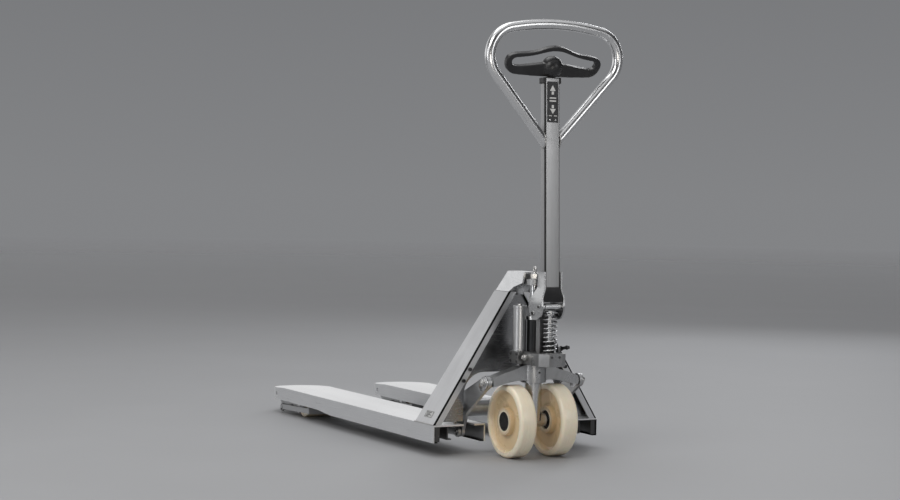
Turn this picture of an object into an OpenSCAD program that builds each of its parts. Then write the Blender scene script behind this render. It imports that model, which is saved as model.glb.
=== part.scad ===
/* [Forks] */
// Width over both forks
overall_w = 520; // [500:5:560]
// Width of one fork
fork_w = 160; // [150:1:170]
// Length of a fork from its heel to its tip
fork_len = 1220; // [1150:10:1250]
// Height of the fork's top when lowered
fork_top = 85; // [83:1:88]
// Depth of the fork's side walls
fork_depth = 48; // [46:1:50]
// Thickness of the fork's sheet
fork_t = 4; // [3:0.5:4]

/* [Wheels] */
// Diameter of a steering wheel
wheel_d = 200; // [196:1:200]
// Width of a steering wheel
wheel_w = 50; // [46:1:52]
// Distance from the middle of the truck to the middle of a steering wheel
wheel_y = 64.5; // [62:0.5:65]
// Diameter of a load roller
roller_d = 80; // [78:1:80]
// Width of a load roller
roller_w = 93; // [88:1:94]

/* [Frame] */
// Height of the lifting head's top
head_top = 505; // [500:1:510]
// Angle of the side channels from vertical
channel_angle = 31.86; // [31:0.02:32]

/* [Handle] */
// Lean of the upright handle towards the forks
handle_lean = 2; // [0:0.5:2]
// Width of the handle tube across the truck
tube_w = 46; // [44:1:46]
// Depth of the handle tube
tube_d = 26; // [24:1:28]
// Height of the handle tube's top above the pivot
tube_top = 632; // [628:1:634]
// Diameter of the bent tube of the hand loop
loop_d = 28; // [25:1:30]

/* [Hidden] */
$fn = 72;

// The truck is drawn with x = 0 at the steering axis, and place() moves it to the middle.
heel_x = 86;
tip_x = heel_x + fork_len;
rear_x = -124;
origin_x = (tip_x + rear_x) / 2;
fork_y = (overall_w - fork_w) / 2;
fork_bottom = fork_top - fork_depth;
nose_drop = 9;
nose_start = tip_x - 156;
nose_bottom = fork_top - 41;
nose_len = 130;
doubler_len = 120;
doubler_t = 0.6;
weld = 0.01;
fit_gap = 0.05;

// Load rollers, their brackets and the pushrods
axle_x = tip_x - 241;
axle_z = roller_d / 2;
pivot_x = axle_x + 149;
pivot_z = axle_z + 20;
rod_front_x = pivot_x - 22;
rod_front_z = pivot_z - 39;
plate_y = 57;
plate_t = 6;
strap_y = 64.5;
strap_t = 5;
rod_y = -25;
rod_t = 8;
bracket_pin_r = 8;
roller_axle_r = 10;
rod_pin_r = 6;

// Bell cranks and torsion tube
crank_x = 165;
crank_z = 122;
crank_y = 139;
crank_t = 10;
crank_pin_r = 12;
link_z = 207;
link_pin_r = 8;
lug_x = crank_x - 21.2;
lug_z = crank_z - 62.3;

// Hydraulic unit
kingpin_r = 24;
ram_r = 13.5;
cylinder_r = 19;
base_z = 256;
base_h = 34;
base_top = base_z + base_h;
pad_h = 2.2;
plunger_x = -88;
plunger_r = 8;
hub_z = 205;
hub_h = 49;
hub_r = 35;

// Handle pivot and what is measured from it
handle_x = -56;
handle_z = 397;
pin_r = 7;
tube_x = -31;
roller_x = -32;
roller_z = 18;
pump_roller_r = 9;
cheek_t = 5;
cheek_y = 31;
tube_bottom = 70;

steel = [0.78, 0.78, 0.79];
bright = [0.88, 0.88, 0.90];
dark = [0.16, 0.16, 0.17];
nylon = [0.93, 0.87, 0.75];

module place() translate([-origin_x, 0, 0]) children();
module both() {
    children();
    mirror([0, 1, 0]) children();
}
module on_left() place() translate([0, fork_y, 0]) children();
module on_right() place() mirror([0, 1, 0]) translate([0, fork_y, 0]) children();
// Extrudes an outline drawn in x and z across y, from y0 over a thickness t
module plate(y0, t) translate([0, y0 + t, 0]) rotate([90, 0, 0]) linear_extrude(t) children();
// Extrudes an outline drawn in y and z along x, from x0 over a length t
module section(x0, t) translate([x0, 0, 0]) rotate([90, 0, 90]) linear_extrude(t) children();
module pin_y(x, z, r, y0, y1) translate([x, y1, z]) rotate([90, 0, 0]) cylinder(r = r, h = y1 - y0);
module ring_y(x, z, r, r_in, y0, y1) difference() {
    pin_y(x, z, r, y0, y1);
    pin_y(x, z, r_in, y0 - 1, y1 + 1);
}
module disc(x, z, r) translate([x, z]) circle(r);
module round_box(w, d, r) {
    square([w - 2 * r, d], center = true);
    square([w, d - 2 * r], center = true);
    for (x = [-1, 1], y = [-1, 1]) translate([x * (w / 2 - r), y * (d / 2 - r)]) circle(r);
}
// Bar between two points of a plane, with square ends
module bar(a, b, w) translate(a) rotate(atan2(b[1] - a[1], b[0] - a[0]))
    translate([0, -w / 2]) square([norm(b - a), w]);

// ---- Forks ----
// Half width of the fork's nose at a distance d past the point where it starts to narrow
function nose_y(d, t) = (fork_w / 2 - t) * sqrt(1 - pow(d / (nose_len - t), 2.6));
nose_steps = 18;
function nose_d(k, t) = (nose_len - t) * (1 - pow(1 - k / nose_steps, 2));
// Plan of a fork, inset by t: straight sides that narrow to a round tip
module fork_plan(t = 0) {
    side = [for (k = [0:nose_steps - 1]) [tip_x - nose_len + nose_d(k, t), nose_y(nose_d(k, t), t)]];
    far = [for (k = [nose_steps - 1:-1:0]) [side[k][0], -side[k][1]]];
    polygon(concat([[heel_x - t, -fork_w / 2 + t], [heel_x - t, fork_w / 2 - t]], side, [[tip_x - t, 0]], far));
}
module fork_slot() translate([heel_x - 1, -46]) square([120, 32]);
module fork_side() polygon([[heel_x, fork_bottom], [heel_x + 700, fork_bottom],
    [heel_x + 790, nose_bottom], [tip_x - 40, nose_bottom], [tip_x, fork_top - nose_drop - 12],
    [tip_x, fork_top - nose_drop], [nose_start, fork_top], [heel_x, fork_top]]);
module fork_room() polygon([[heel_x - 5, -10], [tip_x, -10], [tip_x, fork_top - nose_drop - fork_t],
    [nose_start, fork_top - fork_t], [heel_x - 5, fork_top - fork_t]]);
module fork() {
    half = fork_w / 2;
    difference() {
        intersection() {
            linear_extrude(100) fork_plan();
            plate(-half, fork_w) fork_side();
        }
        intersection() {
            translate([0, 0, -10]) linear_extrude(110) fork_plan(fork_t);
            plate(-half, fork_w) fork_room();
        }
        // Slot in the top for the bell crank and its pushrod pin
        translate([0, 0, fork_top - 10]) linear_extrude(20) fork_slot();
        pin_y(pivot_x, pivot_z, bracket_pin_r, -half - 1, half + 1);
    }
    // Thin doubler that the side channel stands on
    translate([0, 0, fork_top - weld]) linear_extrude(doubler_t + weld) difference() {
        translate([heel_x, -half]) square([doubler_len, fork_w]);
        fork_slot();
    }
    // Return lips along the bottom of both walls
    for (y = [-half + fork_t - weld, half - fork_t + weld - 10]) translate([heel_x, y, fork_bottom])
        cube([680, 10, 3]);
}
module left_fork() color(steel) on_left() fork();
module right_fork() color(steel) on_right() fork();

module fork_ribs() {
    translate([heel_x + 12, 28, fork_bottom + 6]) cube([660, 4, fork_depth - fork_t - 6]);
    translate([heel_x + 12, 18, fork_bottom + 6]) cube([660, 10 + weld, 3]);
    // Bright end flange of the outer wall
    translate([heel_x, 60, fork_bottom + 3]) cube([4, 14, fork_depth - fork_t - 3]);
}
module left_fork_ribs() color(bright) on_left() fork_ribs();
module right_fork_ribs() color(bright) on_right() fork_ribs();

// ---- Lifting frame ----
// Outer face of a side channel: y at height z
function channel_y(z) = overall_w / 2 - 1 - (z - fork_top) * tan(channel_angle);
channel_top = 448;
channel_len = (channel_top - fork_top) / cos(channel_angle);
rear_foot = heel_x + 1;
rear_head = 81;
front_foot = 204;
front_head = 164;
web_t = 5;
flange_t = 5;
flange_w = 20;

// Outline of the web in x and in the distance s up the slope
module web(e = 0) polygon([[rear_foot + e, -30], [front_foot - e, -30],
    [front_head - e, channel_len + 20], [rear_head + e, channel_len + 20]]);
module side_channel() intersection() {
    translate([0, channel_y(fork_top), fork_top]) rotate([channel_angle, 0, 0]) {
        plate(-web_t, web_t) web();
        plate(-flange_w, flange_w) difference() { web(); web(flange_t); }
    }
    translate([0, 0, fork_top + doubler_t]) cube([300, 300, channel_top - fork_top - doubler_t + weld]);
}
module left_side_channel() color(steel) place() side_channel();
module right_side_channel() color(steel) place() mirror([0, 1, 0]) side_channel();

plate_x = 108;
plate_lean = 2.5;
arch_w = 158;
arch_z = 226;
web_room = 6;
module back_plate_outline() difference() {
    foot = channel_y(fork_top + 6) - web_room;
    head = channel_y(channel_top - 8) - web_room;
    polygon([[foot, fork_top + 6], [head, channel_top - 8], [-head, channel_top - 8], [-foot, fork_top + 6]]);
    translate([-arch_w, 0]) square([2 * arch_w, arch_z - 60]);
    translate([-arch_w + 60, 0]) square([2 * arch_w - 120, arch_z]);
    for (s = [-1, 1]) translate([s * (arch_w - 60), arch_z - 60]) circle(60);
}
module on_back_plate() translate([plate_x, 0, fork_top]) rotate([0, -plate_lean, 0])
    translate([0, 0, -fork_top]) children();
module back_plate() color([0.62, 0.62, 0.63]) place() on_back_plate() section(0, 5) back_plate_outline();

cap_front = 160;
cap_foot_w = 34;
cap_top_w = 22;
module cap_side(t = 0) polygon([[20 - 2 * t, head_top - t], [112 - t, head_top - t],
    [cap_front - t, channel_top + weld - 2 * t], [84, channel_top + weld - 2 * t], [62, 462 - 2 * t],
    [20 - 2 * t, 474 - 2 * t]]);
module cap_section(t = 0) polygon([[-cap_foot_w + t, channel_top - 2 * t], [cap_foot_w - t, channel_top - 2 * t],
    [cap_top_w - t, head_top - t], [-cap_top_w + t, head_top - t]]);
module head_cap() color(steel) place() difference() {
    intersection() {
        plate(-50, 100) cap_side();
        section(0, 200) cap_section();
    }
    intersection() {
        plate(-50, 100) cap_side(5);
        section(-10, 200) cap_section(5);
    }
}
lug_top = 486;
module head_lug() color(steel) place() difference() {
    union() {
        translate([0, 0, 470]) cylinder(r = 21, h = lug_top - 470);
        translate([0, -17, 470]) cube([60, 34, lug_top - 470]);
        translate([26, -17, 480]) cube([34, 34, head_top - 5 - 480]);
    }
    translate([0, 0, 460]) cylinder(r = ram_r, h = 22);
    translate([0, 0, 480]) cylinder(r = 7, h = 20);
}
module ram_rod() color(bright) place() {
    translate([0, 0, 152]) cylinder(r = ram_r, h = 330);
    translate([0, 0, 482]) cylinder(r = 7, h = 22);
}
module top_nut() color(bright) place() difference() {
    union() {
        translate([0, 0, lug_top]) cylinder(r = 15, h = 3);
        translate([0, 0, lug_top + 3]) cylinder(r = 12, h = 12, $fn = 6);
    }
    translate([0, 0, lug_top - 1]) cylinder(r = 7, h = 20);
}
module lifting_eye() color(bright) place() {
    translate([0, 0, 504]) cylinder(r = 5, h = 4);
    translate([0, 0, 513]) rotate([90, 0, 0]) rotate_extrude() translate([6, 0]) circle(2.5, $fn = 32);
}
module crank_brackets() color(steel) place() both() difference() {
    plate(165, 8) {
        translate([crank_x - 34, fork_top + doubler_t]) square([68, crank_z - fork_top - doubler_t]);
        disc(crank_x, crank_z, 26);
    }
    pin_y(crank_x, crank_z, crank_pin_r, 160, 180);
}
module crank_pins() color(bright) place() both() {
    pin_y(crank_x, crank_z, crank_pin_r, 112, 176);
    pin_y(crank_x, crank_z, crank_pin_r + 5, 173, 178);
}
module bracket_pivot_pins() color(bright) place() both()
    pin_y(pivot_x, pivot_z, bracket_pin_r, fork_y - 76, fork_y + 76);
module flange_bolts() color(dark) place() both() for (z = [205, 236])
    translate([channel_rear(z) - 5.2, channel_y(z) - 14, z]) rotate([0, 90, 0]) cylinder(r = 5, h = 5);
// Rear edge of a side channel: x at height z
function channel_rear(z) = rear_foot - (rear_foot - rear_head) * ((z - fork_top) / cos(channel_angle) + 30)
    / (channel_len + 50);
module info_plate() color([0.9, 0.9, 0.9]) place()
    translate([0, channel_y(fork_top), fork_top]) rotate([channel_angle, 0, 0])
    translate([122, 0, 20]) cube([44, 0.6, 20]);

// ---- Parts that rise and fall against the frame ----
cross_arm = [[0, 207], [40, 212], [60, 211], [95, 205], [112, 200], [133, 196], [133, 219], [120, 226],
    [95, 234], [70, 241], [50, 249], [34, 254], [0, 254]];
module crosshead() color(steel) place() difference() {
    union() {
        translate([0, 0, hub_z]) cylinder(r = hub_r, h = hub_h);
        section(-19, 38) polygon(concat(cross_arm, flip(cross_arm)));
    }
    translate([0, 0, hub_z - 1]) cylinder(r = kingpin_r + fit_gap, h = hub_h + 2);
    translate([-hub_r - 1, 0, 233]) rotate([0, 90, 0]) cylinder(r = 3, h = 8);
    both() pin_y(0, link_z, link_pin_r, 110, 140);
}
module link_pins() color(bright) place() both() {
    pin_y(0, link_z, link_pin_r, 110, 158);
    ring_y(0, link_z, 15, link_pin_r, 133, 138);
    ring_y(0, link_z, 18, link_pin_r, 150, 153);
    ring_y(0, link_z, 12, link_pin_r, 153, 156);
}
module thrust_washer() color([0.75, 0.6, 0.3]) place() difference() {
    translate([0, 0, hub_z + hub_h]) cylinder(r = 33, h = base_z - hub_z - hub_h);
    translate([0, 0, hub_z + hub_h - 1]) cylinder(r = kingpin_r + fit_gap, h = 10);
}

// ---- Bell cranks ----
module torsion_tube() color(steel) place() difference() {
    pin_y(crank_x, crank_z, 25, -crank_y, crank_y);
    both() pin_y(crank_x, crank_z, crank_pin_r + fit_gap, 108, crank_y + 1);
}
module crank_outline() difference() {
    union() {
        disc(0, link_z, 19);
        disc(crank_x, crank_z, 32);
        disc(lug_x, lug_z, 15);
        polygon([[8, link_z + 16], [crank_x + 10, crank_z + 29], [crank_x + 30, crank_z - 8],
            [lug_x + 11, lug_z - 8], [lug_x - 13, lug_z + 2], [108, 112], [-11, link_z - 14]]);
    }
    // Slot that the crosshead pin slides in as the crank swings
    slot_a = [-0.9, link_z + 0.5];
    slot_b = [24, link_z - 12.8];
    bar(slot_a, slot_b, 22.8);
    disc(slot_a[0], slot_a[1], 11.5);
    disc(slot_b[0], slot_b[1], 11.5);
    disc(lug_x, lug_z, rod_pin_r);
}
module bell_cranks() color([0.7, 0.7, 0.71]) place() both() difference() {
    plate(crank_y, crank_t) crank_outline();
    pin_y(crank_x, crank_z, crank_pin_r + fit_gap, crank_y - 1, crank_y + crank_t + 1);
}
module rod_pins() color(bright) place() both() pin_y(lug_x, lug_z, rod_pin_r, crank_y, fork_y + rod_y + 7);

// ---- Pushrods and load rollers ----
// Eye with a hole that lets its pin drop by the height given
module eye_hole(x, z, fall) {
    disc(x, z, rod_pin_r + 1);
    disc(x, z - fall, rod_pin_r + 1);
    translate([x - rod_pin_r - 1, z - fall]) square([2 * rod_pin_r + 2, fall]);
}
module pushrod() {
    joint_x = axle_x - 95;
    joint_z = lug_z + (rod_front_z - lug_z) * (joint_x - lug_x) / (rod_front_x - lug_x);
    plate(rod_y - rod_t / 2, rod_t) difference() {
        union() {
            bar([lug_x, lug_z - 1], [joint_x, joint_z], 20);
            disc(lug_x, lug_z - 2, 14);
        }
        eye_hole(lug_x, lug_z, 4.5);
    }
    translate([joint_x - weld, -strap_y - strap_t, joint_z - 10]) cube([12, 2 * (strap_y + strap_t), 20]);
    for (y = [strap_y, -strap_y - strap_t]) plate(y, strap_t) difference() {
        union() {
            bar([joint_x, joint_z], [rod_front_x, rod_front_z], 16);
            disc(rod_front_x, rod_front_z - 3, 13);
        }
        eye_hole(rod_front_x, rod_front_z, 6);
    }
}
module left_pushrod() color(steel) on_left() pushrod();
module right_pushrod() color(steel) on_right() pushrod();

module bracket_plate() difference() {
    union() {
        disc(axle_x, axle_z, 22);
        disc(pivot_x, pivot_z, 15);
        disc(rod_front_x, rod_front_z, 12);
        polygon([[axle_x - 48, axle_z + 6], [axle_x, axle_z - 29], [axle_x + 52, axle_z - 4],
            [rod_front_x - 12, rod_front_z + 2], [rod_front_x + 12, rod_front_z], [pivot_x + 14, pivot_z - 5],
            [pivot_x - 4, pivot_z + 14], [axle_x + 40, axle_z + 17], [axle_x - 10, axle_z + 19]]);
    }
    disc(axle_x, axle_z, roller_axle_r);
    disc(rod_front_x, rod_front_z, rod_pin_r);
}
module roller_bracket() {
    difference() {
        for (y = [plate_y, -plate_y - plate_t]) plate(y, plate_t) bracket_plate();
        pin_y(pivot_x, pivot_z, bracket_pin_r + fit_gap, -70, 70);
    }
    // Spacer tube round the pivot pin, and the pushrod's pin
    ring_y(pivot_x, pivot_z, 13, bracket_pin_r + fit_gap, -plate_y, plate_y);
    pin_y(rod_front_x, rod_front_z, rod_pin_r, -strap_y - strap_t - 1, strap_y + strap_t + 1);
}
module left_roller_bracket() color([0.7, 0.7, 0.71]) on_left() roller_bracket();
module right_roller_bracket() color([0.7, 0.7, 0.71]) on_right() roller_bracket();
module roller_axle() pin_y(axle_x, axle_z, roller_axle_r, -plate_y - plate_t - 0.5, plate_y + plate_t + 0.5);
module left_roller_axle() color(bright) on_left() roller_axle();
module right_roller_axle() color(bright) on_right() roller_axle();
module load_roller() translate([axle_x, 0, axle_z]) rotate([90, 0, 0]) rotate_extrude() difference() {
    translate([roller_d / 4, 0]) round_box(roller_d / 2, roller_w, 4);
    translate([-1, -roller_w]) square([roller_axle_r + fit_gap + 1, 2 * roller_w]);
    for (s = [-1, 1]) translate([18, s * (roller_w / 2 + 3)]) circle(6, $fn = 32);
}
module left_load_roller() color(nylon) on_left() load_roller();
module right_load_roller() color(nylon) on_right() load_roller();

// ---- Hydraulic unit ----
// Pedal lever that opens the lowering valve
release_x = -70;
release_z = 301;
pedal_x = -100;
pedal_z = 306;
module release_lever() color([0.5, 0.5, 0.51]) place() {
    pin_y(release_x, release_z, 4, -49, -33);
    plate(-48, 4) {
        bar([release_x, release_z], [pedal_x, pedal_z], 8);
        disc(release_x, release_z, 7);
        disc(pedal_x, pedal_z, 6);
    }
    pin_y(pedal_x, pedal_z, 4.5, -53, -44);
}
base_r = 40;
module pump_base_plan() {
    circle(base_r);
    polygon([[rear_x, -18], [rear_x, 22], [-98, base_r], [0, base_r], [0, -base_r], [-104, -base_r]]);
}
module pump_base() color([0.55, 0.55, 0.56]) place() difference() {
    union() {
        translate([0, 0, base_z]) linear_extrude(base_h) pump_base_plan();
        translate([plunger_x, 0, base_top - weld]) cylinder(r = 21, h = pad_h + weld);
        // Post and knuckle that carry the handle
        translate([handle_x - 10, -20, base_top - weld]) cube([20, 40, handle_z - base_top - 5]);
        pin_y(handle_x, handle_z, 12, -26, 26);
        // Ear that the release lever turns in
        translate([release_x - 7, -base_r, base_top - weld]) cube([14, 7, release_z - base_top]);
        pin_y(release_x, release_z, 7.5, -base_r, -base_r + 7);
    }
    pin_y(handle_x, handle_z, pin_r + fit_gap, -30, 30);
    pin_y(release_x, release_z, 4 + fit_gap, -50, -30);
    translate([0, 0, base_z - 1]) cylinder(r = cylinder_r, h = base_h + 2);
    translate([plunger_x, 0, base_z + 1]) cylinder(r = plunger_r + 1, h = base_h + 5);
    translate([plunger_x, 0, base_top - 12]) cylinder(r = 12, h = 20);
}
// Oil reservoir that stands beside the ram on the pump's body
reservoir_r = 18.5;
module reservoir() color(bright) place() translate([10, 39, base_top]) {
    cylinder(r = reservoir_r, h = 6);
    cylinder(r = reservoir_r - 1, h = 124);
    translate([0, 0, 118]) cylinder(r = reservoir_r, h = 6);
}
module valve_block() color(dark) place() translate([-14, 40, base_z + 1]) cube([46, 17, base_h - 1]);
module valve_knob() color(bright) place() {
    translate([-32, base_r, base_z + 20]) rotate([-90, 0, 0]) cylinder(r = 9, h = 9);
    translate([-32, base_r + 9, base_z + 20]) rotate([-90, 0, 0]) cylinder(r = 6, h = 6, $fn = 6);
}
module ram_cylinder() color([0.35, 0.35, 0.36]) place() difference() {
    translate([0, 0, 140]) cylinder(r = cylinder_r, h = 236);
    translate([0, 0, 150]) cylinder(r = ram_r + fit_gap, h = 240);
}
module ram_gland() color(bright) place() difference() {
    translate([0, 0, 376]) cylinder(r = cylinder_r + 2, h = 10);
    translate([0, 0, 370]) cylinder(r = ram_r + fit_gap, h = 20);
}
module pump_barrel() color(bright) place() translate([plunger_x, 0, 0]) difference() {
    translate([0, 0, base_top - 12]) cylinder(r = 12, h = 44);
    translate([0, 0, base_top - 20]) cylinder(r = plunger_r + fit_gap, h = 60);
}
axle_r = 12.5;
module steering_column() color([0.6, 0.6, 0.61]) place() difference() {
    union() {
        translate([0, 0, wheel_d / 2]) cylinder(r = kingpin_r, h = base_z - wheel_d / 2);
        pin_y(0, wheel_d / 2, axle_r + 5.5, -36, 36);
    }
    translate([0, 0, 140]) cylinder(r = cylinder_r, h = 120);
    pin_y(0, wheel_d / 2, axle_r, -40, 40);
}
module steering_axle() color(bright) place() pin_y(0, wheel_d / 2, axle_r, -87, 87);
module axle_circlips() color(dark) place() both() ring_y(0, wheel_d / 2, axle_r + 4, axle_r, 84.6, 86.6);

bearing_r = 26;
module wheel() translate([0, 0, wheel_d / 2]) rotate([90, 0, 0]) rotate_extrude($fn = 144) difference() {
    translate([wheel_d / 4, 0]) round_box(wheel_d / 2, wheel_w, 9);
    translate([-1, -wheel_w]) square([bearing_r + 1, 2 * wheel_w]);
    for (s = [-1, 1]) scale([1, s]) polygon([[37, wheel_w / 2 + 1], [40, 12], [76, 12], [81, 15],
        [85, wheel_w / 2 + 1]]);
}
module left_wheel() color(nylon) place() translate([0, wheel_y, 0]) wheel();
module right_wheel() color(nylon) place() translate([0, -wheel_y, 0]) wheel();
module bearings() for (y = [[5, 20], [-20, -5]])
    ring_y(0, wheel_d / 2, bearing_r, axle_r + fit_gap, y[0], y[1]);
module left_bearings() color(steel) place() translate([0, wheel_y, 0]) bearings();
module right_bearings() color(steel) place() translate([0, -wheel_y, 0]) bearings();
module hub_cap() {
    ring_y(0, wheel_d / 2, bearing_r, axle_r + 6, 20, 23.5);
    pin_y(0, wheel_d / 2, bearing_r, 23.5, 24.7);
}
module left_hub_cap() color(dark) place() translate([0, wheel_y, 0]) hub_cap();
module right_hub_cap() color(dark) place() mirror([0, 1, 0]) translate([0, wheel_y, 0]) hub_cap();

module pump_plunger() color(bright) place() translate([plunger_x, 0, 0]) {
    translate([0, 0, 303]) cylinder(r = plunger_r, h = 96);
    translate([0, 0, 399]) cylinder(r = 20, h = 3);
    translate([0, 0, 399]) cylinder(r = 15, h = 6.3);
}
spring_r = 17;
wire_r = 2.2;
spring_low = base_top + pad_h + wire_r + fit_gap;
spring_high = 396.6;
spring_turns = 8.5;
// Closed tube along a helix, with every ring computed
module pump_spring() color(bright) place() translate([plunger_x, 0, spring_low]) {
    steps = round(spring_turns * 20);
    sides = 8;
    rise = spring_high - spring_low;
    points = [for (i = [0:steps]) let (a = 360 * spring_turns * i / steps)
        for (k = [0:sides - 1]) let (b = 360 * k / sides, r = spring_r + wire_r * cos(b))
        [r * cos(a), r * sin(a), rise * i / steps + wire_r * sin(b)]];
    walls = [for (i = [0:steps - 1]) for (k = [0:sides - 1]) let (n = (k + 1) % sides)
        [i * sides + k, i * sides + n, (i + 1) * sides + n, (i + 1) * sides + k]];
    first = [for (k = [0:sides - 1]) sides - 1 - k];
    last = [for (k = [0:sides - 1]) steps * sides + k];
    polyhedron(points, concat([first], walls, [last]), convexity = 10);
}

// ---- Handle, drawn from its pivot ----
module on_handle() place() translate([handle_x, 0, handle_z]) rotate([0, handle_lean, 0]) children();
// A cheek is wide and flat round the pivot and bends in to the tube above it
cheek_bend_z = 42;
module cheek_bend() polygon([[cheek_y, 20], [cheek_y + cheek_t, 20], [cheek_y + cheek_t, cheek_bend_z],
    [tube_w / 2 + cheek_t, 66], [tube_w / 2 + cheek_t, 116], [tube_w / 2, 116], [tube_w / 2, 66],
    [cheek_y, cheek_bend_z]]);
module cheek() difference() {
    union() {
        plate(cheek_y, cheek_t) intersection() {
            disc(-12, 18, 36);
            translate([-60, -40]) square([100, 40 + cheek_bend_z - 1]);
        }
        intersection() {
            plate(0, 60) polygon([[-47.5, 20], [-47.5, 112], [-15, 112], [-10, 72], [22, 30], [22, 20]]);
            section(-60, 120) cheek_bend();
        }
    }
    pin_y(0, 0, pin_r, 0, 60);
    pin_y(roller_x, roller_z, 5, 0, 60);
}
module left_cheek() color(steel) on_handle() cheek();
module right_cheek() color(steel) on_handle() mirror([0, 1, 0]) cheek();
module handle_base() color(dark) on_handle() intersection() {
    plate(-40, 80) polygon([[-46, 46], [-40, 31], [-14, 29], [-16, tube_bottom], [-46, tube_bottom]]);
    section(-60, 60) polygon([[-cheek_y + 0.2, 28], [cheek_y - 0.2, 28], [cheek_y - 0.2, 42],
        [tube_w / 2 - 0.2, 66], [tube_w / 2 - 0.2, tube_bottom + 1], [-tube_w / 2 + 0.2, tube_bottom + 1],
        [-tube_w / 2 + 0.2, 66], [-cheek_y + 0.2, 42]]);
}
module handle_pins() color(bright) on_handle() {
    pin_y(0, 0, pin_r, -38, 38);
    pin_y(roller_x, roller_z, 5, -38, 38);
    for (y = [-25, 20]) ring_y(roller_x, roller_z, 8, 5, y - (y < 0 ? 5.8 : 0), y + (y < 0 ? 5 : 10.8));
}
module pump_roller() color(bright) on_handle()
    ring_y(roller_x, roller_z, pump_roller_r, 5 + fit_gap, -19.6, 19.6);
module handle_tube() color(steel) on_handle()
    translate([tube_x, 0, tube_bottom]) linear_extrude(tube_top - tube_bottom) difference() {
        round_box(tube_d, tube_w, 4);
        round_box(tube_d - 6, tube_w - 6, 1.5);
    }

// Hand loop: straight arms, two corner arcs and a long arched top, in a plane that tips back
loop_tilt = 6.2;
loop_foot = 450;
corner_r = 75;
corner_y = 123;
corner_z = 688 - loop_foot;
arm_angle = 42;
top_angle = 11.2;
arm_len = 233;
module bend(r, from, to) intersection() {
    rotate_extrude($fn = 144) translate([r, 0]) circle(loop_d / 2, $fn = 48);
    translate([0, 0, -loop_d]) linear_extrude(2 * loop_d) polygon([[0, 0], 2 * r * [cos(from), sin(from)],
        3 * r * [cos((from + to) / 2), sin((from + to) / 2)], 2 * r * [cos(to), sin(to)]]);
}
// Thin bead that closes the small gap left between two lengths of the bent tube
joint_gap = 0.2;
module joint_bead() sphere(loop_d / 2 + 0.04, $fn = 48);
module loop_half() translate([corner_y, corner_z]) {
    bend(corner_r, -arm_angle, 90 - top_angle);
    rotate([0, 0, 90 - top_angle]) translate([corner_r, 0, 0]) joint_bead();
    rotate([0, 0, -arm_angle]) translate([corner_r, -joint_gap, 0]) {
        joint_bead();
        rotate([90, 0, 0]) cylinder(d = loop_d, h = arm_len, $fn = 48);
    }
}
module handle_loop() color(bright) on_handle() difference() {
    translate([tube_x, 0, loop_foot]) rotate([0, -loop_tilt, 0]) rotate([90, 0, 90]) {
        loop_half();
        mirror([1, 0, 0]) loop_half();
        top_r = (corner_y + corner_r * sin(top_angle)) / sin(top_angle);
        top_gap = joint_gap / 10;
        translate([0, corner_z + corner_r * cos(top_angle) - top_r * cos(top_angle)])
            bend(top_r, 90 - top_angle + top_gap, 90 + top_angle - top_gap);
    }
    translate([tube_x - 30, -tube_w / 2, loop_foot - 40]) cube([60, tube_w, 120]);
}
module label_plate() color([0.08, 0.08, 0.08]) on_handle()
    translate([tube_x - tube_d / 2 - 0.8, -17, 513]) cube([0.8, 34, 110]);

// ---- Control lever ----
lever_x = tube_x - 8;
lever_z = 663;
ball_r = 30;
lever_pin_r = 3;
module lever_socket() color(dark) on_handle() {
    difference() {
        translate([tube_x, 0, tube_top - 14]) linear_extrude(14) round_box(tube_d + 6, tube_w + 8, 5);
        translate([tube_x, 0, tube_top - 30]) linear_extrude(60) round_box(tube_d, tube_w, 4);
        translate([tube_x - tube_d, -tube_w / 2 + 1, tube_top - 30]) cube([tube_d, tube_w - 2, 60]);
        translate([lever_x, 0, lever_z]) sphere(ball_r + 0.6);
    }
    // Plug in the tube's end with its flange, and the tongue and pin that the lever pivots on
    difference() {
        union() {
            translate([tube_x, 0, tube_top - 16]) linear_extrude(17) round_box(tube_d - 6, tube_w - 6, 1.5);
            translate([tube_x, 0, tube_top]) linear_extrude(2) round_box(tube_d + 6, tube_w + 8, 5);
        }
        translate([lever_x, 0, lever_z]) sphere(ball_r + 0.6);
    }
    translate([lever_x - 2, -5, tube_top - 4]) cube([8, 10, lever_z - tube_top + 8]);
    pin_y(lever_x, lever_z, lever_pin_r, -20, 20);
}
wing = [[52, -2.5], [90, -1], [120, 0], [138, 10], [147, 30], [144, 48], [128, 58], [102, 61],
    [80, 63], [53, 69], [32, 78], [10, 83]];
gap = [[14, 71], [40, 64], [68, 55.5], [100, 50], [124, 47.5], [131, 38], [124, 22],
    [80, 26], [40, 33], [22, 34]];
// Each corner of an outline cut at a quarter and three quarters of its sides
function cut_corners(p) = [for (i = [0:len(p) - 1]) let (q = p[(i + 1) % len(p)])
    each [0.75 * p[i] + 0.25 * q, 0.25 * p[i] + 0.75 * q]];
wing_back = 9;
wing_foot = 642;
wing_lean = 28;
wing_t = 16;
function flip(p) = [for (i = [len(p) - 1:-1:0]) [-p[i][0], p[i][1]]];
module control_lever() color(dark) on_handle() difference() {
    union() {
        translate([lever_x + wing_back, 0, wing_foot]) rotate([0, -wing_lean, 0])
            section(-wing_t / 2, wing_t) difference() {
                polygon(cut_corners(cut_corners(concat(wing, flip(wing)))));
                polygon(cut_corners(cut_corners(concat(gap, flip(gap)))));
            }
        translate([lever_x, 0, lever_z]) sphere(ball_r);
    }
    translate([lever_x - 8, -5.6, tube_top - 2]) cube([20, 11.2, lever_z - tube_top + 12]);
    pin_y(lever_x, lever_z, lever_pin_r + fit_gap, -20, 20.3);
}

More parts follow.
